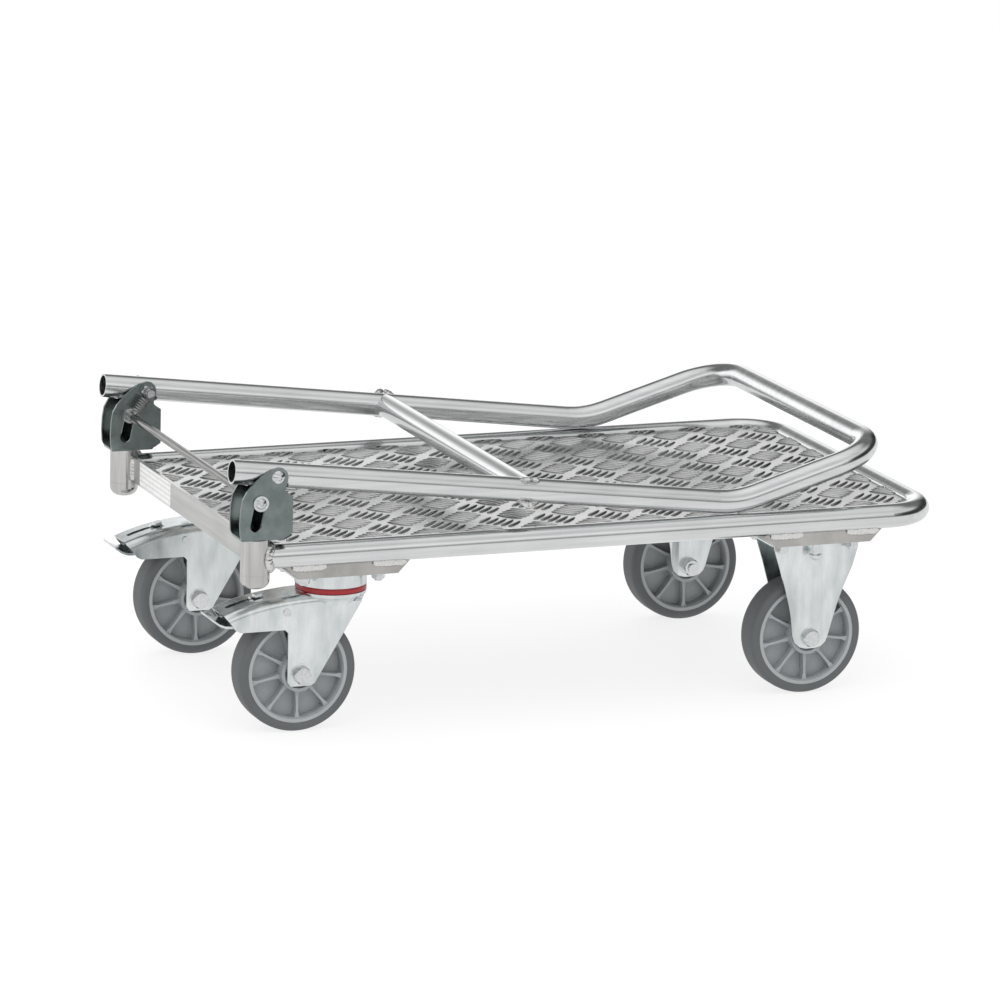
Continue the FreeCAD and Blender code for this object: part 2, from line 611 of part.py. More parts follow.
# ---------------------------------------------------------------- wheels
def tyre():
    profile = [(-13.7, 51.05), (13.7, 51.05), (13.7, 52.85), (15.7, 52.85), (TYRE_HALF, 56.5),
               ((14.6, 60.4), (10.0, 62.25)), (7.0, WHEEL_R), (-7.0, WHEEL_R), (-10.0, 62.25),
               ((-14.6, 60.4), (-TYRE_HALF, 56.5)), (-15.7, 52.85), (-13.7, 52.85)]
    return revolved(profile, vec(0, 0, 0), ALONG_Y)


def rim():
    """A moulded wheel body: hub, thin web, nine tapering ribs and a flanged barrel."""
    rib_count = 9
    barrel = [(-15.6, 49.2), (-12.0, 48.0), (12.0, 48.0), (15.6, 49.2), (15.6, 52.7), (13.8, 52.7), (13.8, 50.95),
              (-13.8, 50.95), (-13.8, 52.7), (-15.6, 52.7)]
    body = revolved(barrel, vec(0, 0, 0), ALONG_Y)
    hub = Part.makeCylinder(19.0, 41.6, vec(0, -20.8, 0), ALONG_Y)
    web = Part.makeCylinder(49.0, 4.4, vec(0, -2.2, 0), ALONG_Y)
    pieces = [hub, web]
    for index in range(rib_count):
        half_rib = [(15.0, 3.4), (22.0, 1.9), (30.0, 1.3), (42.0, 1.2), (49.0, 3.0)]
        rib = prism_xz(half_rib + [(along, -across) for along, across in reversed(half_rib)], -12.6, 12.6)
        rib.rotate(vec(0, 0, 0), ALONG_Y, 360.0 * index / rib_count + 9.0)
        pieces.append(rib)
    body = body.multiFuse(pieces)
    for low in (-21.0, 16.8):
        recess = Part.makeCylinder(15.6, 4.2, vec(0, low, 0), ALONG_Y)
        body = body.cut(recess.cut(Part.makeCylinder(9.5, 4.2, vec(0, low, 0), ALONG_Y)))
    return body.cut(Part.makeCylinder(SLEEVE_R + RUN_FIT, 60, vec(0, -30, 0), ALONG_Y)).removeSplitter()


tyre_shape = tyre()
rim_shape = rim()
for name, x in (("swivel", SWIVEL_AXLE_X), ("fixed", FIXED_AXLE_X)):
    for hand, side in (("left", 1), ("right", -1)):
        save(name + "_tyre_" + hand, moved(tyre_shape, x, side * CASTER_Y, AXLE_Z))
        save(name + "_rim_" + hand, moved(rim_shape, x, side * CASTER_Y, AXLE_Z))


def axle_sleeve(x, y):
    half = FORK_IN - GAP
    tube = rod(vec(x, y - half, AXLE_Z), vec(x, y + half, AXLE_Z), SLEEVE_R)
    return tube.cut(rod(vec(x, y - half, AXLE_Z), vec(x, y + half, AXLE_Z), AXLE_R + GAP))


def axle_bolt(x, y, head_side):
    face = y + head_side * (FORK_OUT + 0.9 + GAP)
    head = hexagon(vec(x, face, AXLE_Z), vec(0, head_side, 0), 16.5, 6.4)
    flange = rod(vec(x, face, AXLE_Z), vec(x, face + head_side * 1.2, AXLE_Z), 9.6)
    shank = rod(vec(x, face, AXLE_Z), vec(x, y - head_side * (FORK_OUT + 13.5), AXLE_Z), AXLE_R)
    return head.fuse(flange).fuse(shank)


def axle_nut(x, y, head_side):
    face = y - head_side * (FORK_OUT + 0.9 + GAP)
    nut = hexagon(vec(x, face, AXLE_Z), vec(0, -head_side, 0), 16.5, 9.5)
    return nut.cut(rod(vec(x, face + head_side, AXLE_Z), vec(x, face - head_side * 12, AXLE_Z), AXLE_R + GAP))


# ---------------------------------------------------------------- swivel casters
def top_plate(x, y, holes):
    plate = box(vec(x - PLATE_X / 2, y - PLATE_Y / 2, plate_bottom),
                vec(x + PLATE_X / 2, y + PLATE_Y / 2, PLATE_TOP_Z))
    upright = [edge for edge in plate.Edges if abs(edge.tangentAt(edge.FirstParameter).z) > 0.9]
    plate = plate.makeFillet(8.0, upright)
    for hole_x, hole_y in corner_points(x, y, holes):
        plate = plate.cut(Part.makeCylinder(hole_r, 10, vec(hole_x, hole_y, plate_bottom - 3)))
    return plate


def swivel_plate(y):
    """The top plate with its pressed race skirt."""
    skirt_low = CROWN_TOP_Z + 6.6
    plate = top_plate(SWIVEL_PIN_X, y, SWIVEL_HOLES)
    skirt = Part.makeCylinder(RACE_R, plate_bottom + 1 - skirt_low, vec(SWIVEL_PIN_X, y, skirt_low))
    skirt = skirt.cut(Part.makeCylinder(RACE_R - 2.0, 40, vec(SWIVEL_PIN_X, y, skirt_low - 1)))
    lug = box(vec(SWIVEL_PIN_X - RACE_R - 0.8, y - 17.0, skirt_low + 1),
              vec(SWIVEL_PIN_X - 30, y - 6.0, plate_bottom + 1))
    lug = lug.cut(Part.makeCylinder(RACE_R - 1.0, 40, vec(SWIVEL_PIN_X, y, skirt_low - 1)))
    body = plate.fuse(skirt).fuse(lug)
    return body.cut(Part.makeCylinder(KING_PIN_R + GAP, 30, vec(SWIVEL_PIN_X, y, plate_bottom - 5)))


def king_pin(y):
    """Riveted pin that hangs the fork crown from the top plate."""
    low_head = CROWN_BOTTOM_Z - 0.35
    shank = Part.makeCylinder(KING_PIN_R, PLATE_TOP_Z + 1.5 - low_head, vec(SWIVEL_PIN_X, y, low_head))
    head = Part.makeCylinder(10.0, 4.5, vec(SWIVEL_PIN_X, y, low_head - 4.5))
    shoulder = Part.makeCylinder(9.0, 19.0, vec(SWIVEL_PIN_X, y, plate_bottom - GAP - 19.0))
    rivet = Part.makeCylinder(KING_PIN_HEAD_R, 2.4, vec(SWIVEL_PIN_X, y, PLATE_TOP_Z + GAP))
    return shank.fuse(head).fuse(shoulder).fuse(rivet)


def race_balls(y):
    balls = []
    count = 24
    for index in range(count):
        angle = 2 * math.pi * index / count
        spot = vec(SWIVEL_PIN_X + 31.4 * math.cos(angle), y + 31.4 * math.sin(angle), 156.5)
        balls.append(Part.makeSphere(3.0, spot))
    return balls


def roof(lower):
    """The (x, z) line of the housing's roof from nose to crown, lowered by the given depth."""
    line = [(-374.7, 127.4), (-362.0, 132.2), (-346.0, 136.9), (-323.0, 141.4), (-303.5, 143.9),
            (-286.0, CROWN_TOP_Z)]
    return [(x, z - lower) for x, z in line]


def fork_block(half_width, lower, nose_reach, low_z, corner_r, back_x):
    """The outside or inside of the fork as one rounded block."""
    line = roof(lower)
    first, last = line[0], (back_x, CROWN_TOP_Z - lower)
    nose = (first[0] - nose_reach, first[1] - 0.42 * nose_reach)
    curve = Part.BSplineCurve()
    through = [nose] + line if nose_reach > 0 else line
    curve.interpolate([vec(x, -half_width, z) for x, z in through])
    start = vec(nose[0], -half_width, nose[1])
    roof_end = vec(line[-1][0], -half_width, line[-1][1])
    corners = [roof_end, vec(last[0], -half_width, last[1]), vec(last[0], -half_width, low_z),
               vec(nose[0], -half_width, low_z), start]
    wire = Part.Wire([curve.toShape()] + [Part.makeLine(corners[i], corners[i + 1]) for i in range(4)])
    block = Part.Face(wire).extrude(vec(0, 2 * half_width, 0))
    top_edges = []
    for edge in block.Edges:
        middle = edge.valueAt((edge.FirstParameter + edge.LastParameter) / 2)
        on_side = abs(abs(middle.y) - half_width) < 0.01
        high = middle.z > 125 - lower and last[0] - 0.5 > middle.x > nose[0] + 0.5
        if on_side and high:
            top_edges.append(edge)
    return block.makeFillet(corner_r, top_edges)


def flare(outer_r, inner_r):
    """The round shoulder under the crown, narrowing down to the width of the legs."""
    low, high = CROWN_BOTTOM_Z - 27.0, CROWN_BOTTOM_Z
    profile = [(low, 0.0), (low, inner_r), ((0.5 * (low + high) + 3.0, 0.5 * (inner_r + outer_r) - 2.4), (high, outer_r)),
               (high, 0.0)]
    return revolved(profile, vec(SWIVEL_PIN_X, 0, 0), UP)


def swivel_fork():
    """Pressed fork, roofed over the wheel behind the swivel axis, drawn about y = 0."""
    outer = fork_block(FORK_OUT, 0.0, 0.0, 40.0, 9.0, -200.0)
    side = [(-307.5, 55.0), (-304.0, 50.5), (-282.5, 50.5), (-278.3, 53.0), (-225.3, 143.9), (-225.3, 160.0),
            (-374.7, 160.0), (-374.7, 127.4), (-362.8, 112.4), (-358.0, 110.0), (-311.0, 110.0), (-307.5, 106.5)]
    fork = outer.common(prism_xz(side, -40, 40))
    # Beyond a soft upright crease each leg leans outward towards the round crown.
    crease_x, lean_x = -276.0, -225.0
    for hand in (-1, 1):
        wedge = [(crease_x, hand * (FORK_OUT - 0.4)), (lean_x, hand * (FORK_OUT - 0.4)), (lean_x, hand * (FORK_OUT + 2.2)),
                 (crease_x, hand * FORK_OUT)]
        fork = fork.fuse(prism_xy(wedge, 40.0, CROWN_TOP_Z - 9.0).common(prism_xz(side, -40, 40)))
    fork = fork.fuse(flare(36.3, 24.0)).cut(flare(33.3, 21.0))
    fork = fork.cut(fork_block(FORK_IN, SHEET, 12.0, 20.0, 6.0, -190.0))
    crown = Part.makeCylinder(36.4, CROWN_TOP_Z - CROWN_BOTTOM_Z, vec(SWIVEL_PIN_X, 0, CROWN_BOTTOM_Z))
    race = Part.makeCylinder(28.0, 14.0, vec(SWIVEL_PIN_X, 0, CROWN_BOTTOM_Z))
    race = race.cut(Part.makeCylinder(24.5, 20.0, vec(SWIVEL_PIN_X, 0, CROWN_BOTTOM_Z)))
    fork = fork.fuse(crown).fuse(race)
    for face_y in (-FORK_OUT - 0.8, FORK_OUT - 0.2):
        fork = fork.fuse(Part.makeCylinder(11.5, 1.0, vec(SWIVEL_AXLE_X, face_y, AXLE_Z), ALONG_Y))
    fork = fork.cut(Part.makeCylinder(KING_PIN_R + RUN_FIT, 30, vec(SWIVEL_PIN_X, 0, 130)))
    fork = fork.cut(Part.makeCylinder(AXLE_R + GAP, 80, vec(SWIVEL_AXLE_X, -40, AXLE_Z), ALONG_Y))
    fork = fork.cut(Part.makeCylinder(3.0 + GAP, 80, vec(PEDAL_PIN_X, -40, PEDAL_PIN_Z), ALONG_Y))
    fork = fork.cut(box(vec(-366.0, -3.6, 120.0), vec(-328.0, 3.6, 150.0)))
    for low in (-9.0, 3.0):
        fork = fork.cut(box(vec(-339.0, low, 134.2), vec(-328.0, low + 6.0, 150.0)))
    return fork


def seal_ring():
    ring = Part.makeCylinder(36.3, 6.1, vec(SWIVEL_PIN_X, 0, CROWN_TOP_Z + GAP))
    rims = [edge for edge in ring.Edges if edge.Length > 100]
    ring = ring.makeFillet(1.6, rims)
    return ring.cut(Part.makeCylinder(33.5, 10, vec(SWIVEL_PIN_X, 0, CROWN_TOP_Z - 1)))


def brake_pedal():
    """Stamped lever on the fork's pin: shoe over the tyre, tongue in the roof slot, tread behind the nose."""
    top = [(-312.0, 127.4), (-330.0, 123.6), (-352.0, 119.0), (-365.0, 116.4), (-373.0, 117.0), (-379.5, 119.6),
           (-385.5, 124.0)]
    under = [(x + 0.5, z - 2.6) for x, z in top]
    strip = prism_xz(top + list(reversed(under)), -18.0, 18.0)
    tread = prism_xz(top[3:] + list(reversed(under[3:])), -21.5, 21.5)
    barrel = Part.makeCylinder(4.6, 43.0, vec(PEDAL_PIN_X, -21.5, PEDAL_PIN_Z), ALONG_Y)
    shoe = prism_xz([(-330.0, 122.5), (-348.0, 119.0), (-347.0, 110.0), (-334.0, 119.0)], -13.0, 13.0)
    tongue = prism_xz([(-341.0, 120.0), (-341.0, 140.6), (-329.5, 142.0), (-329.5, 140.6), (-337.0, 139.0),
                       (-337.0, 120.0)], -2.4, 2.4)
    cap = prism_xz([(-336.4, 139.4), (-336.4, 142.8), (-329.6, 144.4), (-329.6, 140.8)], -5.0, 5.0)
    lever = strip.fuse(tread).fuse(barrel).fuse(shoe).fuse(tongue).fuse(cap)
    lever = lever.cut(Part.makeCylinder(WHEEL_R + 2.4, 60, vec(SWIVEL_AXLE_X, -30, AXLE_Z), ALONG_Y))
    return lever.cut(Part.makeCylinder(3.0 + RUN_FIT, 60, vec(PEDAL_PIN_X, -30, PEDAL_PIN_Z), ALONG_Y))


def pedal_pin():
    half = FORK_OUT + GAP
    shank = rod(vec(PEDAL_PIN_X, -half, PEDAL_PIN_Z), vec(PEDAL_PIN_X, half, PEDAL_PIN_Z), 3.0)
    for side in (-1, 1):
        head = Part.makeCylinder(4.2, 1.4, vec(PEDAL_PIN_X, side * half, PEDAL_PIN_Z), vec(0, side, 0))
        shank = shank.fuse(head)
    return shank


fork_shape = swivel_fork()
ring_shape = seal_ring()
pedal_shape = brake_pedal()
pin_shape = pedal_pin()
all_balls = []
king_pins = []
for hand, side in (("left", 1), ("right", -1)):
    centre = side * CASTER_Y
    save("swivel_top_plate_" + hand, swivel_plate(centre))
    save("swivel_fork_" + hand, moved(fork_shape, 0, centre, 0))
    save("swivel_seal_ring_" + hand, moved(ring_shape, 0, centre, 0))
    save("brake_pedal_" + hand, moved(pedal_shape, 0, centre, 0))
    save("pedal_pin_" + hand, moved(pin_shape, 0, centre, 0))
    save("swivel_axle_bolt_" + hand, axle_bolt(SWIVEL_AXLE_X, centre, -1))
    save("swivel_axle_nut_" + hand, axle_nut(SWIVEL_AXLE_X, centre, -1))
    save("swivel_axle_sleeve_" + hand, axle_sleeve(SWIVEL_AXLE_X, centre))
    all_balls += race_balls(centre)
    king_pins.append(king_pin(centre))
save("race_balls", all_balls)
save("king_pins", king_pins)


# ---------------------------------------------------------------- fixed casters
def fixed_fork():
    """One pressing: top plate and two legs with a raised middle panel, drawn about y = 0."""
    plate = top_plate(FIXED_AXLE_X, 0, FIXED_HOLES)
    half_side = [(-45.0, plate_bottom + 1), (-42.5, 157.0), (-36.0, 137.0), (-29.6, 115.0), (-25.0, 98.0),
                 (-21.8, 82.0), (-20.0, 66.0), (-17.5, 58.0), (-12.0, 52.8), (-5.0, 51.0), (5.0, 51.0),
                 (12.0, 52.8), (17.5, 57.0), (20.8, 65.0), (25.5, 82.0), (30.2, 98.0), (36.4, 115.0),
                 (46.0, 137.0), (51.5, 157.0), (52.0, plate_bottom + 1)]
    outline = [(FIXED_AXLE_X + x, z) for x, z in half_side]
    body = plate
    panel, flank = FORK_OUT + 0.6, FORK_OUT - 1.0
    section = [(-60.0, FORK_IN), (60.0, FORK_IN), (60.0, flank), (22.0, flank), (13.5, panel), (-12.5, panel),
               (-20.0, flank), (-60.0, flank)]
    for side in (-1, 1):
        leg = prism_xy([(FIXED_AXLE_X + x, side * y) for x, y in section], 50.0, plate_bottom + 1)
        body = body.fuse(leg.common(prism_xz(outline, -40, 40)))
        body = body.fuse(rod(vec(FIXED_AXLE_X, side * (FORK_OUT - 0.6), AXLE_Z),
                             vec(FIXED_AXLE_X, side * (FORK_OUT + 0.8), AXLE_Z), 11.5))
    body = body.cut(Part.makeCylinder(AXLE_R + GAP, 80, vec(FIXED_AXLE_X, -40, AXLE_Z), ALONG_Y))
    return body


fixed_shape = fixed_fork()
stud_clear = [Part.makeCylinder(hole_r, 10, vec(x, y, plate_bottom - 3)) for x, y in stud_spots]
fixed_bolts = []
fixed_nuts = []
fixed_sleeves = []
for hand, side in (("left", 1), ("right", -1)):
    centre = side * CASTER_Y
    save("fixed_fork_" + hand, moved(fixed_shape, 0, centre, 0).cut(stud_clear[0]).cut(stud_clear[1]))
    fixed_bolts.append(axle_bolt(FIXED_AXLE_X, centre, side))
    fixed_nuts.append(axle_nut(FIXED_AXLE_X, centre, side))
    fixed_sleeves.append(axle_sleeve(FIXED_AXLE_X, centre))
save("fixed_axle_bolts", fixed_bolts)
save("fixed_axle_nuts", fixed_nuts)
save("fixed_axle_sleeves", fixed_sleeves)
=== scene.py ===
import math
import random

import bmesh
import bpy
from mathutils import Matrix, Vector


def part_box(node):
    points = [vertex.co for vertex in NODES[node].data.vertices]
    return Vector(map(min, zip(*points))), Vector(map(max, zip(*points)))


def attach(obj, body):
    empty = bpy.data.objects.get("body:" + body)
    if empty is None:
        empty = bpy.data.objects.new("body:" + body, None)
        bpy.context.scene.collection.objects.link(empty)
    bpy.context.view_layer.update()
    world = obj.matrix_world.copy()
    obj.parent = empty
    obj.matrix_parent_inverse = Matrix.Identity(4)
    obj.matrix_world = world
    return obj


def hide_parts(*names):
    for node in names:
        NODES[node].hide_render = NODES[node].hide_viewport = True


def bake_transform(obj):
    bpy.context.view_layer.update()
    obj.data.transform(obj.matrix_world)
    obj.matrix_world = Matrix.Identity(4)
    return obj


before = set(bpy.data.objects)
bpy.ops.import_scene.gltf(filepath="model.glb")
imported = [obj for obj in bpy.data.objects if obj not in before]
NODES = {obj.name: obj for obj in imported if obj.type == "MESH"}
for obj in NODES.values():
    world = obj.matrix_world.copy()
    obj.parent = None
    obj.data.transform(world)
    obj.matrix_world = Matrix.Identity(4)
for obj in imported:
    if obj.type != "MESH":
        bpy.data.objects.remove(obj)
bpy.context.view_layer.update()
scene = bpy.context.scene
MM = 0.001


# ---------------------------------------------------------------- camera, floor, light
CAMERA_AT = Vector((-2.2901, -5.7917, 1.6199))
CAMERA_YAW, CAMERA_PITCH, CAMERA_ROLL = 0.3739, 0.2268, -0.025
CAMERA_LENS = 218.8
CAMERA_SENSOR = 36.0


def make_camera():
    """The photograph's view: from the hinge end's near side, a little above, through a long lens."""
    yaw, pitch, roll = CAMERA_YAW, CAMERA_PITCH, CAMERA_ROLL
    forward = Vector((math.sin(yaw) * math.cos(pitch), math.cos(yaw) * math.cos(pitch), -math.sin(pitch)))
    right = Vector((math.cos(yaw), -math.sin(yaw), 0.0))
    down = forward.cross(right)
    right_rolled = right * math.cos(roll) + down * math.sin(roll)
    down_rolled = -right * math.sin(roll) + down * math.cos(roll)
    basis = Matrix((right_rolled, -down_rolled, -forward)).transposed().to_4x4()
    data = bpy.data.cameras.new("camera")
    data.lens = CAMERA_LENS
    data.sensor_width = CAMERA_SENSOR
    data.clip_start = 0.5
    data.clip_end = 60.0
    camera = bpy.data.objects.new("camera", data)
    camera.matrix_world = Matrix.Translation(CAMERA_AT) @ basis
    scene.collection.objects.link(camera)
    scene.camera = camera


make_camera()


class Nodes:
    """Short calls for building a node tree."""

    def __init__(self, tree):
        self.tree = tree

    def add(self, kind, **settings):
        node = self.tree.nodes.new(kind)
        for name, value in settings.items():
            setattr(node, name, value)
        return node

    def link(self, source, target):
        self.tree.links.new(source, target)

    def math(self, operation, first, second=0.0, clamp=False):
        node = self.add("ShaderNodeMath", operation=operation, use_clamp=clamp)
        for index, value in enumerate((first, second)):
            if isinstance(value, (int, float)):
                node.inputs[index].default_value = value
            else:
                self.link(value, node.inputs[index])
        return node.outputs[0]

    def half(self, source):
        """Brings -1..1 to 0..1."""
        return self.math("ADD", self.math("MULTIPLY", source, 0.5), 0.5)

    def mix(self, factor, first, second, kind="RGBA", blend="MIX"):
        node = self.add("ShaderNodeMix", data_type=kind)
        if kind == "RGBA":
            node.blend_type = blend
        sockets = [s for s in node.inputs if s.enabled]
        for socket, value in zip(sockets, (factor, first, second)):
            if isinstance(value, (int, float)):
                socket.default_value = value
            elif isinstance(value, tuple):
                socket.default_value = value if len(value) == 4 else (*value, 1.0)
            else:
                self.link(value, socket)
        return [s for s in node.outputs if s.enabled][0]

    def ramp(self, source, stops, interpolation="LINEAR"):
        node = self.add("ShaderNodeValToRGB")
        node.color_ramp.interpolation = interpolation
        elements = node.color_ramp.elements
        while len(elements) < len(stops):
            elements.new(0.5)
        for element, (position, value) in zip(elements, stops):
            element.position = position
            element.color = (value, value, value, 1.0) if isinstance(value, (int, float)) else (*value, 1.0)
        self.link(source, node.inputs[0])
        return node.outputs[0]


DIM_SIDE = (0.03, 0.031, 0.032)
MIRRORED_GAIN = (1.32, 1.32, 1.32)
DIFFUSE_SKY = (1.08, 1.08, 1.08)


def make_world():
    """Studio surroundings as gradients: a white sweep behind, a softer grey room in front, a lit ceiling."""
    world = bpy.data.worlds.new("studio")
    scene.world = world
    world.use_nodes = True
    tree = world.node_tree
    tree.nodes.clear()
    n = Nodes(tree)
    coord = n.add("ShaderNodeTexCoord")
    split = n.add("ShaderNodeSeparateXYZ")
    n.link(coord.outputs["Generated"], split.inputs[0])
    x, y, z = split.outputs
    height = n.half(z)
    behind = n.ramp(height, [(0.0, 0.70), (0.50, 1.00), (0.64, 1.00), (0.72, 0.16), (0.88, 0.12),
                             (0.94, 0.60), (1.0, 0.75)])
    front = n.ramp(height, [(0.0, 0.70), (0.44, 0.60), (0.50, 0.18), (0.57, 0.34), (0.68, 0.86),
                            (0.84, 0.48), (1.0, 0.75)])
    room = n.mix(n.ramp(n.half(y), [(0.40, 0.0), (0.62, 1.0)], "EASE"), front, behind)
    side = n.ramp(n.half(x), [(0.66, 0.0), (0.84, 1.0)], "EASE")
    low = n.ramp(height, [(0.50, 0.0), (0.53, 1.0), (0.68, 1.0), (0.78, 0.0)], "EASE")
    tint = n.mix(n.math("MULTIPLY", side, low), room, DIM_SIDE)
    seen = n.add("ShaderNodeLightPath")
    bright = n.mix(1.0, tint, MIRRORED_GAIN, blend="MULTIPLY")
    lit = n.mix(seen.outputs["Is Diffuse Ray"], bright, DIFFUSE_SKY)
    shown = n.mix(seen.outputs["Is Camera Ray"], lit, (1.0, 1.0, 1.0))
    back = n.add("ShaderNodeBackground")
    n.link(shown, back.inputs["Color"])
    back.inputs["Strength"].default_value = 1.0
    out = n.add("ShaderNodeOutputWorld")
    n.link(back.outputs[0], out.inputs[0])


def area_light(name, location, target, size, power, glossy=False):
    data = bpy.data.lights.new(name, "AREA")
    data.shape = "DISK"
    data.size = size
    data.energy = power
    light = bpy.data.objects.new(name, data)
    light.location = location
    light.rotation_mode = "QUATERNION"
    light.rotation_quaternion = (Vector(target) - Vector(location)).to_track_quat("-Z", "Y")
    light.visible_glossy = glossy
    scene.collection.objects.link(light)


FLOOR_SIZE = 30.0
FLOOR_COLOUR = (0.18, 0.18, 0.18, 1.0)
FLOOR_GLOW = 0.80
FLOOR_MIRRORED = (0.86, 0.86, 0.86, 1.0)


def make_floor():
    """A pale floor with a faint shadow, which shows a plain tone in mirrored surfaces."""
    mesh = bmesh.new()
    bmesh.ops.create_grid(mesh, x_segments=2, y_segments=2, size=FLOOR_SIZE)
    data = bpy.data.meshes.new("floor")
    mesh.to_mesh(data)
    mesh.free()
    floor = bpy.data.objects.new("floor", data)
    scene.collection.objects.link(floor)
    material = bpy.data.materials.new("floor")
    material.use_nodes = True
    n = Nodes(material.node_tree)
    shader = material.node_tree.nodes["Principled BSDF"]
    shader.inputs["Base Color"].default_value = FLOOR_COLOUR
    shader.inputs["Roughness"].default_value = 0.8
    shader.inputs["Specular IOR Level"].default_value = 0.05
    shader.inputs["Emission Color"].default_value = (1.0, 1.0, 1.0, 1.0)
    shader.inputs["Emission Strength"].default_value = FLOOR_GLOW
    mirrored = n.add("ShaderNodeEmission")
    mirrored.inputs["Color"].default_value = FLOOR_MIRRORED
    path = n.add("ShaderNodeLightPath")
    chosen = n.add("ShaderNodeMixShader")
    n.link(path.outputs["Is Glossy Ray"], chosen.inputs[0])
    n.link(shader.outputs[0], chosen.inputs[1])
    n.link(mirrored.outputs[0], chosen.inputs[2])
    n.link(chosen.outputs[0], material.node_tree.nodes["Material Output"].inputs["Surface"])
    data.materials.append(material)


make_world()
make_floor()
area_light("key", (-0.8, -1.6, 3.4), (0, 0, 0.1), 4.2, 62.0)
area_light("back", (0.6, 2.6, 2.8), (0, 0, 0.1), 3.6, 34.0)
scene.view_settings.view_transform = "Standard"
scene.view_settings.look = "None"


# ---------------------------------------------------------------- materials
def principled(name):
    material = bpy.data.materials.new(name)
    material.use_nodes = True
    n = Nodes(material.node_tree)
    return material, n, material.node_tree.nodes["Principled BSDF"]


def grain(n, stretch, scale, detail=3.0):
    """Noise drawn out along one or two axes of the object."""
    coord = n.add("ShaderNodeTexCoord")
    place = n.add("ShaderNodeMapping")
    n.link(coord.outputs["Object"], place.inputs[0])
    place.inputs["Scale"].default_value = stretch
    noise = n.add("ShaderNodeTexNoise")
    n.link(place.outputs[0], noise.inputs["Vector"])
    noise.inputs["Scale"].default_value = scale
    noise.inputs["Detail"].default_value = detail
    return noise.outputs["Fac"]


def bump(n, shader, height, strength, distance):
    node = n.add("ShaderNodeBump")
    node.inputs["Strength"].default_value = strength
    node.inputs["Distance"].default_value = distance
    n.link(height, node.inputs["Height"])
    n.link(node.outputs[0], shader.inputs["Normal"])


METAL_BUMP = 0.0002
SOFT_BUMP = 0.0001


def metal(name, dark, light, rough, stretch, scale, bump_strength):
    """Bare metal whose colour and roughness follow streaks along the stretch and a slow cloud."""
    material, n, shader = principled(name)
    streak = grain(n, stretch, scale)
    cloud = grain(n, (1, 1, 1), 14.0)
    varied = n.math("ADD", n.math("MULTIPLY", streak, 0.6), n.math("MULTIPLY", cloud, 0.4))
    colour = n.mix(n.ramp(varied, [(0.35, 0.0), (0.65, 1.0)]), dark, light)
    n.link(colour, shader.inputs["Base Color"])
    n.link(n.ramp(varied, [(0.3, rough[0]), (0.7, rough[1])]), shader.inputs["Roughness"])
    shader.inputs["Metallic"].default_value = 1.0
    bump(n, shader, streak, bump_strength, METAL_BUMP)
    return material


ALUMINIUM = metal("drawn_aluminium", (0.66, 0.68, 0.68), (0.79, 0.80, 0.80), (0.13, 0.21),
                  (2, 50, 50), 4.0, 0.02)
UPRIGHT = metal("turned_aluminium", (0.50, 0.495, 0.485), (0.68, 0.675, 0.66), (0.13, 0.22),
                (40, 40, 3), 4.0, 0.03)
ACROSS = metal("bent_aluminium", (0.66, 0.68, 0.68), (0.79, 0.80, 0.80), (0.13, 0.21),
               (50, 2, 50), 4.0, 0.02)
SHEET = metal("sheet_aluminium", (0.48, 0.485, 0.475), (0.62, 0.62, 0.61), (0.16, 0.26),
              (30, 2, 30), 5.0, 0.02)
TRAY = metal("pressed_tray", (0.40, 0.39, 0.37), (0.56, 0.55, 0.53), (0.20, 0.32), (4, 4, 4), 10.0, 0.03)
ZINC = metal("zinc_plate", (0.58, 0.62, 0.625), (0.88, 0.91, 0.91), (0.16, 0.30),
             (1.6, 1.6, 0.5), 45.0, 0.03)
FASTENER = metal("zinc_fastener", (0.60, 0.62, 0.63), (0.78, 0.79, 0.80), (0.12, 0.22),
                 (20, 20, 20), 20.0, 0.02)
WELD = metal("weld", (0.66, 0.655, 0.64), (0.82, 0.82, 0.81), (0.18, 0.30), (30, 30, 30), 20.0, 0.05)
BRACKET = metal("coated_bracket", (0.17, 0.205, 0.20), (0.27, 0.31, 0.30), (0.16, 0.28),
                (6, 6, 6), 12.0, 0.03)
SPRING = metal("spring_steel", (0.26, 0.26, 0.255), (0.42, 0.42, 0.415), (0.12, 0.20),
               (20, 20, 20), 20.0, 0.02)
BAR = metal("turned_bar", (0.13, 0.13, 0.13), (0.32, 0.32, 0.315), (0.08, 0.15), (60, 2, 60), 8.0, 0.02)


DECK_LOW, DECK_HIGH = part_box("tread_plate")
DECK_TOP = DECK_HIGH.z


def tread_material():
    """Rolled aluminium, with painted shade darkening the crease where each raised bar meets the plate."""
    material, n, shader = principled("tread_aluminium")
    cloud = grain(n, (1, 1, 1), 22.0)
    colour = n.mix(n.ramp(cloud, [(0.35, 0.0), (0.65, 1.0)]), (0.50, 0.505, 0.50), (0.66, 0.665, 0.66))
    coord = n.add("ShaderNodeTexCoord")
    split = n.add("ShaderNodeSeparateXYZ")
    n.link(coord.outputs["Object"], split.inputs[0])
    rise = n.math("MULTIPLY", n.math("SUBTRACT", split.outputs[2], DECK_TOP), 1000.0)
    # painted shade: the colour goes nearly black in the first half millimetre of each bar's rise, where the
    # bar meets the plate
    crease_shade = n.ramp(rise, [(0.0, 0.0), (0.02, 0.0), (0.03, 1.0), (0.20, 0.9), (0.50, 0.0)], "LINEAR")
    n.link(n.mix(n.math("MULTIPLY", crease_shade, 0.80), colour, (0.06, 0.06, 0.06)), shader.inputs["Base Color"])
    n.link(n.ramp(cloud, [(0.3, 0.20), (0.7, 0.32)]), shader.inputs["Roughness"])
    shader.inputs["Metallic"].default_value = 1.0
    return material


TREAD = tread_material()


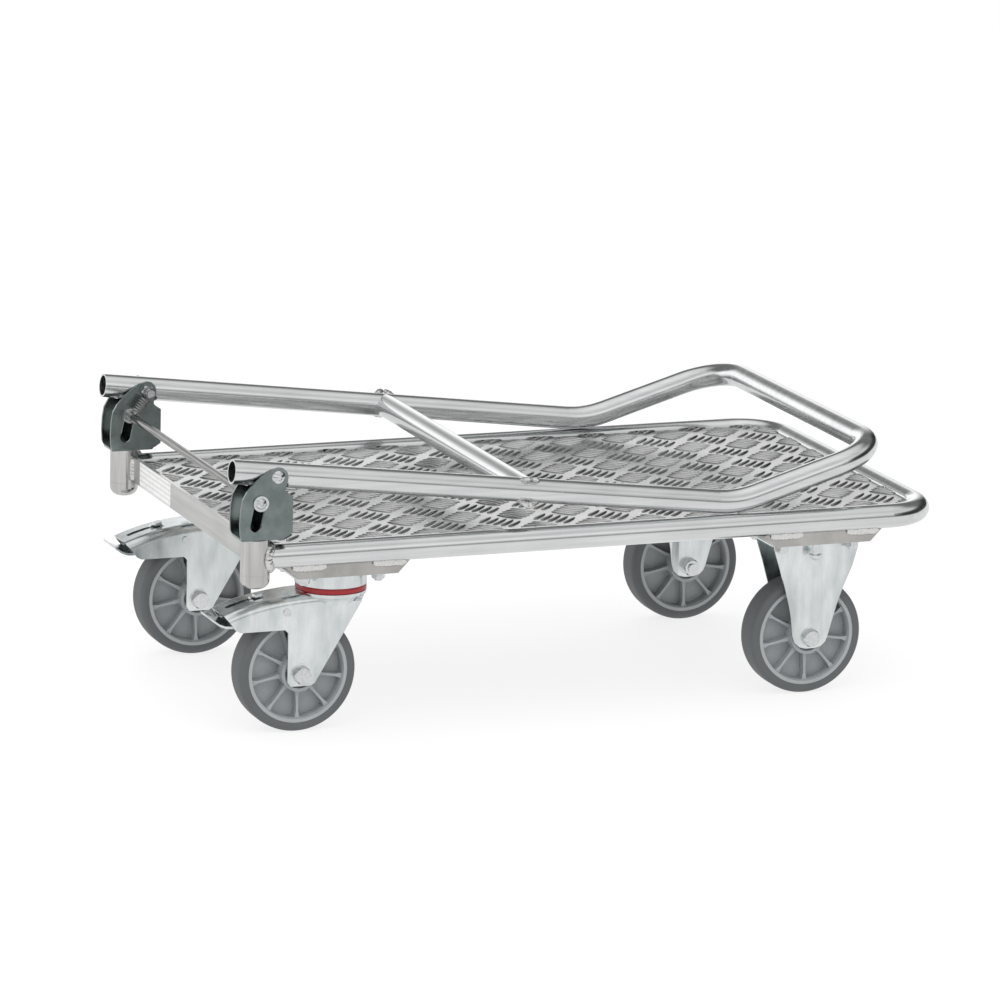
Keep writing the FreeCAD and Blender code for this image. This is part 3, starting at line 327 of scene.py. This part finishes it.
def soft(name, dark, light, rough, scale):
    """Rubber or plastic with a fine moulded grain."""
    material, n, shader = principled(name)
    fine = grain(n, (1, 1, 1), scale, 6.0)
    cloud = grain(n, (1, 1, 1), 18.0)
    varied = n.math("ADD", n.math("MULTIPLY", fine, 0.5), n.math("MULTIPLY", cloud, 0.5))
    n.link(n.mix(n.ramp(varied, [(0.35, 0.0), (0.65, 1.0)]), dark, light), shader.inputs["Base Color"])
    n.link(n.ramp(varied, [(0.3, rough[0]), (0.7, rough[1])]), shader.inputs["Roughness"])
    bump(n, shader, fine, 0.15, SOFT_BUMP)
    return material


TYRE = soft("tyre_rubber", (0.086, 0.092, 0.096), (0.108, 0.115, 0.120), (0.55, 0.7), 900.0)
RIM = soft("rim_plastic", (0.300, 0.318, 0.328), (0.350, 0.368, 0.380), (0.32, 0.44), 700.0)
SEAL = soft("seal_plastic", (0.30, 0.010, 0.016), (0.38, 0.018, 0.024), (0.3, 0.4), 500.0)


def label_material():
    """White film with faint empty table rules; nothing is written on it."""
    material, n, shader = principled("label_film")
    coord = n.add("ShaderNodeTexCoord")
    split = n.add("ShaderNodeSeparateXYZ")
    n.link(coord.outputs["Object"], split.inputs[0])
    joined = n.add("ShaderNodeCombineXYZ")
    n.link(split.outputs[1], joined.inputs[0])
    n.link(split.outputs[2], joined.inputs[1])
    table = n.add("ShaderNodeTexBrick")
    n.link(joined.outputs[0], table.inputs["Vector"])
    table.inputs["Scale"].default_value = 1.0
    table.inputs["Brick Width"].default_value = 0.026
    table.inputs["Row Height"].default_value = 0.0052
    table.inputs["Mortar Size"].default_value = 0.0004
    table.inputs["Color1"].default_value = (0.84, 0.84, 0.83, 1.0)
    table.inputs["Color2"].default_value = (0.78, 0.78, 0.78, 1.0)
    table.inputs["Mortar"].default_value = (0.42, 0.43, 0.44, 1.0)
    cloud = grain(n, (1, 1, 1), 30.0)
    colour = n.mix(n.math("MULTIPLY", cloud, 0.2), table.outputs["Color"], (0.80, 0.80, 0.80))
    n.link(colour, shader.inputs["Base Color"])
    n.link(n.ramp(cloud, [(0.3, 0.32), (0.7, 0.44)]), shader.inputs["Roughness"])
    return material


LABEL = label_material()


def paint(names, material):
    for name in names:
        node = NODES[name]
        node.data.materials.clear()
        node.data.materials.append(material)


paint(["rail_tube", "handle_tube"], ALUMINIUM)
paint(["handle_cross_brace"], ACROSS)
paint(["corner_posts", "corner_post_caps"], UPRIGHT)
paint(["end_crossbar", "deck_bearers"], SHEET)
paint(["tread_plate"], TREAD)
paint(["caster_mount_swivel", "caster_mount_fixed"], TRAY)
paint(["frame_welds", "handle_welds"], WELD)
paint(["hinge_bracket_left", "hinge_bracket_right"], BRACKET)
paint(["lock_bar", "lock_bar_sleeves"], BAR)
paint(["rating_label"], LABEL)
for name in NODES:
    if "tyre" in name:
        paint([name], TYRE)
    elif "rim" in name:
        paint([name], RIM)
    elif "seal_ring" in name:
        paint([name], SEAL)
    elif "fork" in name or "brake_pedal" in name or "top_plate" in name:
        paint([name], ZINC)
FASTENER_WORDS = ("bolt", "nut", "stud", "screw", "washer", "rivet", "pin", "sleeve", "spring", "ball")
for name in NODES:
    if name != "lock_bar_sleeves" and any(word in name for word in FASTENER_WORDS):
        paint([name], FASTENER)


def soften(word_widths):
    """Rounds the sharp edges of the CAD pieces so that they catch the light."""
    for name, node in NODES.items():
        for words, width in word_widths:
            if any(word in name for word in words):
                bevel = node.modifiers.new("edge", "BEVEL")
                bevel.width = width * MM
                bevel.segments = 2
                bevel.limit_method = "ANGLE"
                bevel.angle_limit = math.radians(38)
                bevel.harden_normals = False
                break


SHEET_WORDS = ("hinge_bracket", "brake_pedal", "fixed_fork", "swivel_fork", "crossbar", "caster_mount", "rim")
SMALL_WORDS = ("bolt", "nut", "screw", "stud", "washer", "pin")
soften([(SHEET_WORDS, 0.5), (SMALL_WORDS, 0.35)])


# ---------------------------------------------------------------- mesh helpers
def make_object(name, verts, faces, material, body, smooth=True):
    data = bpy.data.meshes.new(name)
    data.from_pydata(verts, [], faces)
    data.validate()
    data.update()
    for polygon in data.polygons:
        polygon.use_smooth = smooth
    data.materials.append(material)
    piece = bpy.data.objects.new(name, data)
    scene.collection.objects.link(piece)
    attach(piece, body)
    return piece


# ---------------------------------------------------------------- raised bars of the deck
PITCH_X = 60.0 * MM
PITCH_Y = 61.4 * MM
PHASE_X = -19.5 * MM
PHASE_Y = -35.4 * MM
BAR_STEP = 8.3 * MM
BAR_LONG = 33.0 * MM
BAR_WIDE = 6.0 * MM
BAR_TALL = 1.7 * MM
BAR_SUNK = 0.12 * MM
CORNER = 38.0 * MM


def inside_deck(x, y):
    """The nearest point of the plate's outline, drawn in a little, to a point that may lie off it."""
    margin = 0.5 * MM
    x = max(x, DECK_LOW.x + margin)
    x = min(x, DECK_HIGH.x - margin)
    half = DECK_HIGH.y - margin
    y = max(-half, min(half, y))
    centre_x, centre_y = DECK_HIGH.x - CORNER, half - CORNER
    if x > centre_x and abs(y) > centre_y:
        out = Vector((x - centre_x, abs(y) - centre_y))
        if out.length > CORNER - margin:
            out = out.normalized() * (CORNER - margin)
            x, y = centre_x + out.x, math.copysign(centre_y + out.y, y)
    return x, y


def deck_bars():
    """Groups of five lens-shaped bars, each group turned a quarter from its neighbours."""
    random.seed(11)
    verts, faces = [], []
    along_steps, across_steps = 12, 6
    groups = []
    for i in range(-7, 8):
        for j in range(-5, 6):
            groups.append((i * PITCH_X + PHASE_X, j * PITCH_Y + PHASE_Y, 1))
            groups.append(((i + 0.5) * PITCH_X + PHASE_X, (j + 0.5) * PITCH_Y + PHASE_Y, -1))
    for group_x, group_y, lean in groups:
        along = Vector((math.sqrt(0.5), lean * math.sqrt(0.5)))
        across = Vector((-along.y, along.x))
        for number in range(-2, 3):
            centre = Vector((group_x, group_y)) + across * (number * BAR_STEP)
            long = BAR_LONG * (1.0 - 0.05 * abs(number)) * random.uniform(0.985, 1.015)
            tall = BAR_TALL * random.uniform(0.93, 1.05)
            base = len(verts)
            moved = 0
            for a in range(along_steps + 1):
                s = -1.0 + 2.0 * a / along_steps
                s = math.copysign(abs(s) ** 0.8, s)
                swell = max(0.0, 1.0 - abs(s) ** 2.6)
                half = 0.5 * BAR_WIDE * (0.16 + 0.84 * swell ** 0.75)
                for b in range(across_steps + 1):
                    t = -1.0 + 2.0 * b / across_steps
                    flat = centre + along * (s * long / 2) + across * (t * half)
                    x, y = inside_deck(flat.x, flat.y)
                    if abs(x - flat.x) + abs(y - flat.y) > 1e-9:
                        moved += 1
                    rise = tall * (swell ** 0.6) * (1.0 - abs(t) ** 4.0)
                    z = DECK_TOP - BAR_SUNK + rise
                    if 0 < a < along_steps and 0 < b < across_steps:
                        z += BAR_SUNK
                    verts.append((x, y, z))
            if moved >= (along_steps + 1) * (across_steps + 1):
                del verts[base:]
                continue
            row = across_steps + 1
            for a in range(along_steps):
                for b in range(across_steps):
                    first = base + a * row + b
                    faces.append((first, first + row, first + row + 1, first + 1))
    make_object("tread_bars", verts, faces, TREAD, "frame")


deck_bars()


# ---------------------------------------------------------------- weld beads
BEAD_STEP = 0.45 * MM
TUBE_R = 12.5 * MM
POST_R = 15.0 * MM


def bead_mesh(lines, half_width, half_height, pitch):
    """Rippled beads: each is a low rounded strip along its line, stepped like overlapping coins."""
    verts, faces = [], []
    around = 12
    for points, up in lines:
        fine = []
        for index in range(len(points) - 1):
            gap = (points[index + 1] - points[index]).length
            steps = max(1, int(round(gap / BEAD_STEP)))
            for step in range(steps):
                share = step / steps
                point = points[index].lerp(points[index + 1], share)
                fine.append((point, up[index].lerp(up[index + 1], share)))
        fine.append((points[-1], up[-1]))
        length = 0.0
        base = len(verts)
        total = sum((points[i + 1] - points[i]).length for i in range(len(points) - 1))
        for index, (point, normal) in enumerate(fine):
            ahead = fine[min(index + 1, len(fine) - 1)][0]
            behind = fine[max(index - 1, 0)][0]
            tangent = (ahead - behind).normalized()
            normal = (normal - tangent * normal.dot(tangent)).normalized()
            side = tangent.cross(normal)
            if index:
                length += (point - fine[index - 1][0]).length
            phase = (length / pitch) % 1.0
            ripple = 1.0 - 0.26 * phase ** 2
            wobble = 1.0 + 0.07 * math.sin(length / pitch * 1.7 + 1.3)
            close = min(length, total - length) / (1.6 * half_width)
            taper = math.sqrt(max(0.02, 1.0 - max(0.0, 1.0 - close) ** 2))
            for b in range(around):
                angle = 2 * math.pi * b / around
                wide = half_width * taper * wobble * (0.92 + 0.08 * ripple) * math.cos(angle)
                tall = half_height * taper * ripple * math.sin(angle)
                bow = -0.9 * MM * math.cos(angle) ** 2
                verts.append(point + side * wide + normal * tall + tangent * bow)
        for a in range(len(fine) - 1):
            for b in range(around):
                c = (b + 1) % around
                ring, following = base + a * around, base + (a + 1) * around
                faces.append((ring + b, ring + c, following + c, following + b))
        faces.append(tuple(base + b for b in range(around))[::-1])
        faces.append(tuple(base + (len(fine) - 1) * around + b for b in range(around)))
    return verts, faces


def saddle(centre, out, across, branch_r, main_r, start, stop):
    """Points and outward directions round the joint of a branch tube on the side of a main tube."""
    run = out.cross(across)
    points, ups = [], []
    for step in range(25):
        angle = math.radians(start + (stop - start) * step / 24)
        side = branch_r * math.cos(angle)
        along = branch_r * math.sin(angle)
        reach = math.sqrt(max(main_r ** 2 - side ** 2, 0.0))
        radial = (across * math.cos(angle) + run * math.sin(angle)).normalized()
        up = (radial + out * 0.8 + across * (side / main_r) * 0.4).normalized()
        points.append(centre + out * reach + across * side + run * along)
        ups.append(up)
    return points, ups


def frame_beads():
    """Beads of the rail on its posts, the crossbar on the posts and the caster mounts on the rail."""
    rail_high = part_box("rail_tube")[1]
    rail_z = rail_high.z - TUBE_R
    rail_y = rail_high.y - TUBE_R
    post_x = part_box("corner_posts")[0].x + POST_R
    bar_low, bar_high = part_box("end_crossbar")
    lines = []
    for side in (-1, 1):
        centre = Vector((post_x, side * rail_y, rail_z))
        lines.append(saddle(centre, Vector((1, 0, 0)), Vector((0, side, 0)),
                            TUBE_R + 0.6 * MM, POST_R + 1.4 * MM, -104, 104))
        x = bar_low.x - 0.4 * MM
        y = side * (rail_y - math.sqrt(POST_R ** 2 - (x - post_x) ** 2) - 0.6 * MM)
        heights = (bar_low.z + 1 * MM, 0.5 * (bar_low.z + bar_high.z), bar_high.z - 1 * MM)
        upright = [Vector((x, y, z)) for z in heights]
        lines.append((upright, [Vector((-0.7, -side * 0.7, 0))] * 3))
        for mount in ("caster_mount_swivel", "caster_mount_fixed"):
            low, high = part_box(mount)
            for near, far in ((0.05, 0.33), (0.70, 0.97)):
                ends = [low.x + (high.x - low.x) * share for share in (near, 0.5 * (near + far), far)]
                run = [Vector((x, side * (rail_y + 3.9 * MM), rail_z - TUBE_R - 0.6 * MM)) for x in ends]
                lines.append((run, [Vector((0, side * 0.9, -0.35))] * 3))
    verts, faces = bead_mesh(lines, 5.2 * MM, 2.9 * MM, 4.2 * MM)
    piece = make_object("frame_bead_runs", verts, faces, WELD, "frame")
    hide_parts("frame_welds")


FOLDED_SLOPE = 6.83


def handle_beads():
    """A closed bead round each end of the brace, where it meets a handle tube."""
    low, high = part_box("handle_cross_brace")
    centre_x = 0.5 * (low.x + high.x)
    centre_z = 0.5 * (low.z + high.z)
    slope = math.radians(FOLDED_SLOPE)
    lines = []
    for side in (-1, 1):
        centre = Vector((centre_x, side * (high.y + TUBE_R - 0.2 * MM), centre_z))
        across = Vector((math.sin(slope), 0, math.cos(slope)))
        lines.append(saddle(centre, Vector((0, -side, 0)), across,
                            TUBE_R + 0.9 * MM, TUBE_R + 0.2 * MM, 0, 360))
    verts, faces = bead_mesh(lines, 4.6 * MM, 2.7 * MM, 3.8 * MM)
    piece = make_object("handle_bead_runs", verts, faces, WELD, "handle")
    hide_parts("handle_welds")


# ---------------------------------------------------------------- lock bar springs
SPRING_WIRE_R = 0.68 * MM
SPRING_COIL_R = 5.8 * MM
SPRING_TURNS = 6
TURN_STEPS = 16
COIL_END_GAP = 7.6 * MM
UPPER_HOOK_R = 5.2 * MM
LOWER_HOOK_R = 5.4 * MM
HOOK_STEPS = 20


def lock_spring(side_name):
    """One bent wire: a loop over the pivot bolt, a coil and a loop under the lock bar."""
    low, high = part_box("lock_spring_" + side_name)
    bolt_low, bolt_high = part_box("pivot_nuts")
    bar_low, bar_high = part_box("lock_bar")
    y = 0.5 * (low.y + high.y)
    top = Vector((0.5 * (bolt_low.x + bolt_high.x), y, 0.5 * (bolt_low.z + bolt_high.z)))
    bottom = Vector((0.5 * (bar_low.x + bar_high.x), y, 0.5 * (bar_low.z + bar_high.z)))
    line = (bottom - top).normalized()
    span = (bottom - top).length
    across = Vector((line.z, 0, -line.x))
    out = Vector((0, 1, 0))
    start_s, stop_s = COIL_END_GAP, span - COIL_END_GAP
    points = []
    for step in range(HOOK_STEPS):
        angle = math.radians(-70 + 250 * step / (HOOK_STEPS - 1))
        around = across * math.sin(angle) - line * math.cos(angle)
        points.append(top + around * UPPER_HOOK_R)
    coil_steps = SPRING_TURNS * TURN_STEPS
    for step in range(coil_steps + 1):
        share = step / coil_steps
        angle = 2 * math.pi * SPRING_TURNS * share
        s = start_s + (stop_s - start_s) * share
        around = out * math.sin(angle) - across * math.cos(angle)
        points.append(top + line * s + around * SPRING_COIL_R)
    for step in range(HOOK_STEPS):
        angle = math.radians(180 - 250 * step / (HOOK_STEPS - 1))
        around = line * math.cos(angle) - across * math.sin(angle)
        points.append(bottom + around * LOWER_HOOK_R)
    curve = bpy.data.curves.new("lock_spring_wire_" + side_name, "CURVE")
    curve.dimensions = "3D"
    curve.bevel_depth = SPRING_WIRE_R
    curve.bevel_resolution = 3
    spline = curve.splines.new("POLY")
    spline.points.add(len(points) - 1)
    for spot, point in zip(spline.points, points):
        spot.co = (*point, 1.0)
    shaped = bpy.data.objects.new("spring_curve", curve)
    scene.collection.objects.link(shaped)
    bpy.context.view_layer.update()
    data = bpy.data.meshes.new_from_object(shaped.evaluated_get(bpy.context.evaluated_depsgraph_get()))
    bpy.data.objects.remove(shaped)
    for polygon in data.polygons:
        polygon.use_smooth = True
    data.materials.clear()
    data.materials.append(SPRING)
    piece = bpy.data.objects.new("lock_spring_wire_" + side_name, data)
    scene.collection.objects.link(piece)
    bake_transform(piece)
    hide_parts("lock_spring_" + side_name)


frame_beads()
handle_beads()
lock_spring("left")
lock_spring("right")
